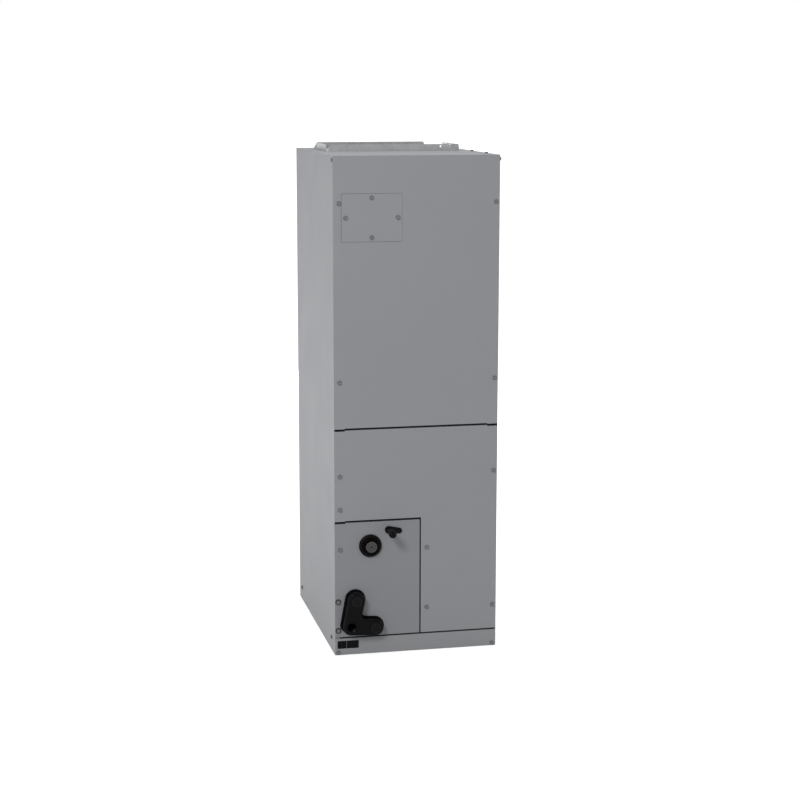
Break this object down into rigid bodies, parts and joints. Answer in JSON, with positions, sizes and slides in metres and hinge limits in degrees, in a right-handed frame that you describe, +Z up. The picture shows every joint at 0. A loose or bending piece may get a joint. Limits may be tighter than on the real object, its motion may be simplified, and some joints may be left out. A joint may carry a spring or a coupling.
{
  "type": "vertical ducted air handler",
  "caption": "Tall box-shaped air handler with removable front panels, pipe stubs, drain outlets, a filter slot at the base and a flanged supply opening on top.",
  "frame": {"origin": "centre of the base pan's underside, on the floor", "axes": "+Z up, -Y out of the front, +X to the right seen from the front"},
  "size_m": [0.4272, 0.6216, 1.275],
  "materials": {
    "casing_paint": "satin powder coat",
    "panel_paint": "satin powder coat",
    "galvanised": "spangled zinc",
    "duct_zinc": "spangled zinc",
    "screw_zinc": "zinc plate",
    "liner": "matte mat with a coated face",
    "grommet_rubber": "matte",
    "washer_rubber": "matte",
    "gasket_foam": "matte closed cell",
    "suction_plug": "matte grey",
    "liquid_cap": "matte",
    "drain_plastic": "moulded",
    "drain_plug": "moulded",
    "pan_plastic": "moulded",
    "blank_plate": "satin",
    "filter_card": "card and pleated media",
    "coil_aluminium": "bare",
    "coil_copper": "copper",
    "pipe_copper": "copper",
    "valve_brass": "machined",
    "motor_shell": "black paint",
    "shaft_steel": "ground",
    "terminal_plastic": "moulded",
    "terminal_steel": "plated",
    "transformer": "varnished laminations",
    "board": "solder mask",
    "capacitor_can": "bare can",
    "relay_case": "moulded",
    "harness_sleeve": "braided sleeve"
  },
  "bodies": {
    "casing": {"back_panel": "casing_paint", "base_pan": "galvanised", "blower_relay": "relay_case", "casing_screws": "screw_zinc", "coil_closing_plates": "galvanised", "coil_fins": "coil_aluminium", "coil_shelves": "galvanised", "coil_tubes": "coil_copper", "control_board": "board", "control_tray": "galvanised", "drain_outlet_block": "drain_plastic", "duct_flanges": "duct_zinc", "feeder_tubes": "pipe_copper", "filter_runners": "galvanised", "front_rails": "galvanised", "left_side_panel": "casing_paint", "liquid_line": "pipe_copper", "main_drain_pan": "pan_plastic", "metering_device": "valve_brass", "motor_body": "motor_shell", "motor_harness": "harness_sleeve", "motor_mount": "galvanised", "right_side_panel": "casing_paint", "run_capacitor": "capacitor_can", "scroll_sides": "galvanised", "scroll_wrap": "galvanised", "side_drain_pan": "pan_plastic", "suction_manifold": "pipe_copper", "suction_stub": "pipe_copper", "terminal_block": "terminal_plastic", "terminal_metal": "terminal_steel", "top_panel": "casing_paint", "transformer": "transformer", "tube_sheets": "galvanised", "wall_liners": "liner"},
    "wheel": {"blower_wheel": "galvanised", "wheel_hub": "shaft_steel", "motor_shaft": "shaft_steel"},
    "blower_cover": {"blower_panel": "panel_paint", "blower_panel_liner": "liner", "blower_panel_screws": "screw_zinc"},
    "cover_plate": {"breaker_cover_plate": "panel_paint", "cover_plate_screws": "screw_zinc"},
    "coil_cover": {"coil_panel": "panel_paint", "coil_panel_liner": "liner", "coil_panel_screws": "screw_zinc"},
    "fitting_cover": {"fitting_panel": "panel_paint", "fitting_panel_screws": "screw_zinc", "sealing_washers": "washer_rubber", "suction_grommet": "grommet_rubber", "liquid_grommet": "grommet_rubber", "drain_gasket": "gasket_foam"},
    "suction_cap": {"suction_plug": "suction_plug"},
    "liquid_cap_body": {"liquid_cap": "liquid_cap"},
    "upper_plug": {"drain_plug_upper": "drain_plug"},
    "right_plug": {"drain_plug_right": "drain_plug"},
    "door": {"filter_door": "panel_paint", "filter_door_screws": "screw_zinc", "blank_plates": "blank_plate"},
    "filter": {"air_filter": "filter_card"}
  },
  "joints": [
    {"name": "blower_spin", "type": "hinge", "parent": "casing", "child": "wheel", "pos_m": [0, -0.012, 1.067], "axis": [1, 0, 0], "continuous": true},
    {"name": "blower_panel_pull", "type": "slide", "parent": "casing", "child": "blower_cover", "axis": [0, -1, 0], "range_m": [0, 0.3]},
    {"name": "cover_plate_pull", "type": "slide", "parent": "blower_cover", "child": "cover_plate", "axis": [0, -1, 0], "range_m": [0, 0.15]},
    {"name": "coil_panel_pull", "type": "slide", "parent": "casing", "child": "coil_cover", "axis": [0, -1, 0], "range_m": [0, 0.3]},
    {"name": "fitting_panel_pull", "type": "slide", "parent": "casing", "child": "fitting_cover", "axis": [0, -1, 0], "range_m": [0, 0.3]},
    {"name": "suction_plug_pull", "type": "slide", "parent": "fitting_cover", "child": "suction_cap", "axis": [0, -1, 0], "range_m": [0, 0.1]},
    {"name": "liquid_cap_pull", "type": "slide", "parent": "fitting_cover", "child": "liquid_cap_body", "axis": [0, -1, 0], "range_m": [0, 0.1]},
    {"name": "upper_drain_plug_pull", "type": "slide", "parent": "casing", "child": "upper_plug", "axis": [0, -1, 0], "range_m": [0, 0.06]},
    {"name": "right_drain_plug_pull", "type": "slide", "parent": "casing", "child": "right_plug", "axis": [0, -1, 0], "range_m": [0, 0.06]},
    {"name": "filter_door_pull", "type": "slide", "parent": "casing", "child": "door", "axis": [0, -1, 0], "range_m": [0, 0.52]},
    {"name": "filter_pull", "type": "slide", "parent": "casing", "child": "filter", "axis": [0, -1, 0], "range_m": [0, 0.52]}
  ],
  "couplings": [
    {"joint": "filter_pull", "follows": "filter_door_pull", "ratio": 1}
  ]
}
